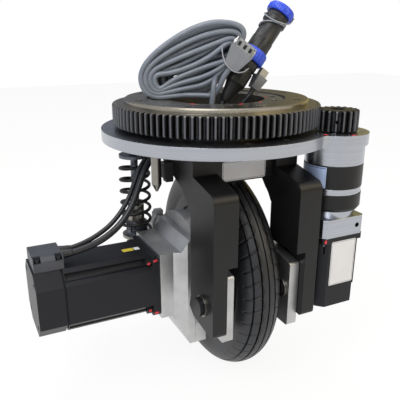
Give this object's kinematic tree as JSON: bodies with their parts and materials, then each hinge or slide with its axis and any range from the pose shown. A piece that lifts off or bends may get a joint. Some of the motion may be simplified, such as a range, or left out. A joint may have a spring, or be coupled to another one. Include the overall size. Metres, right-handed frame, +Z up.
{
  "type": "agv drive wheel unit",
  "caption": "Steered drive wheel for a guided vehicle: a geared slewing ring carries a fork, a sprung swing arm, a tyred wheel with motor and gearbox, and a steering motor with pinion.",
  "frame": {"origin": "centre of the slewing ring at its top mounting face", "axes": "+Z up along the steering axis, +X in the rolling direction, Y along the axle with the drive motor at -Y"},
  "size_m": [0.284, 0.3926, 0.4734],
  "materials": {
    "gear_steel": "blackened, oiled steel teeth with a ground top",
    "bright_steel": "ground and turned steel",
    "black_screw": "black oxide",
    "steel_screw": "zinc plated",
    "turned_alloy": "turned and milled, clear anodised",
    "black_paint": "satin black paint",
    "pale_steel": "plain turned",
    "black_plastic": "moulded",
    "black_anodised": "satin black anodised",
    "cap_grey": "moulded dark grey",
    "bush_bronze": "sintered bronze",
    "seal_rubber": "matte",
    "tyre_rubber": "moulded tread, matte",
    "black_spring": "powder coated",
    "grey_metal": "hard chromed rod and turned seat",
    "cable_black": "matte jacket",
    "cable_grey": "satin PVC jacket",
    "hood_grey": "moulded, metallised"
  },
  "bodies": {
    "gear_ring": {"gear_ring": "gear_steel"},
    "carriage": {"inner_ring": "bright_steel", "bearing_balls": "bright_steel", "ring_seal": "seal_rubber", "ring_screws": "black_screw", "steering_plate": "turned_alloy", "plate_screws": "steel_screw", "fork_left": "black_paint", "fork_right": "black_paint", "fork_bridge": "black_paint", "fork_screws": "black_screw", "pivot_pins": "black_paint", "pivot_rings": "bright_steel", "stop_pin": "pale_steel", "limit_sensor": "black_plastic", "steer_head": "turned_alloy", "steer_upper_band": "black_anodised", "steer_mid_ring": "turned_alloy", "steer_lower_band": "black_anodised", "steer_adapter": "turned_alloy", "steer_motor": "black_anodised", "steer_motor_base": "black_plastic", "steer_sockets": "black_plastic", "steer_screws": "black_screw", "cable_clamp": "black_paint", "shock_bracket": "black_paint", "shock_top_pin": "bright_steel", "power_cable": "cable_black", "encoder_cable": "cable_black", "control_lead": "cable_grey", "cable_hank": "cable_grey", "power_plug": "black_plastic", "encoder_plug": "hood_grey", "control_plug": "hood_grey"},
    "pinion": {"pinion": "gear_steel", "pinion_shaft": "bright_steel", "pinion_set_screw": "black_screw"},
    "swing_arm": {"arm_left": "turned_alloy", "arm_right": "turned_alloy", "pivot_bushes": "bush_bronze", "gearbox": "turned_alloy", "gearbox_screws": "black_screw", "drive_motor": "black_anodised", "motor_cover": "black_anodised", "cable_cap": "cap_grey", "cap_screws": "black_screw", "motor_screws": "black_screw", "shock_lug": "turned_alloy", "shock_stud": "bright_steel", "left_bearing": "bright_steel", "right_bearing": "bright_steel"},
    "wheel": {"tyre": "tyre_rubber", "rim": "bright_steel", "axle": "bright_steel", "wheel_bolts": "black_screw", "axle_nut": "bright_steel"},
    "shock_rod": {"shock_rod": "grey_metal", "shock_spring": "black_spring"},
    "shock_tube": {"shock_tube": "black_spring", "preload_nut": "bright_steel"}
  },
  "joints": [
    {"name": "steer", "type": "hinge", "parent": "gear_ring", "child": "carriage", "pos_m": [0, 0, 0], "axis": [0, 0, 1], "range_deg": [-120, 120]},
    {"name": "pinion_turn", "type": "hinge", "parent": "carriage", "child": "pinion", "pos_m": [0.0987, 0.10961, -0.022], "axis": [0, 0, 1], "range_deg": [-680, 680]},
    {"name": "swing", "type": "hinge", "parent": "carriage", "child": "swing_arm", "pos_m": [0.105, 0, -0.222], "axis": [0, 1, 0], "range_deg": [-5, 4], "stiffness_Nm_per_rad": 600, "deforming": ["shock_spring"]},
    {"name": "roll", "type": "hinge", "parent": "swing_arm", "child": "wheel", "pos_m": [0, 0, -0.222], "axis": [0, 1, 0], "continuous": true},
    {"name": "rod_tilt", "type": "hinge", "parent": "carriage", "child": "shock_rod", "pos_m": [-0.07, -0.086, -0.0625], "axis": [0, 1, 0], "range_deg": [-2, 2]},
    {"name": "tube_tilt", "type": "hinge", "parent": "swing_arm", "child": "shock_tube", "pos_m": [-0.07, -0.086, -0.208], "axis": [0, 1, 0], "range_deg": [-8, 8]}
  ],
  "couplings": [
    {"joint": "pinion_turn", "follows": "steer", "ratio": 5.5556},
    {"joint": "rod_tilt", "follows": "swing", "ratio": -0.09622},
    {"joint": "tube_tilt", "follows": "swing", "ratio": -1.0962}
  ]
}
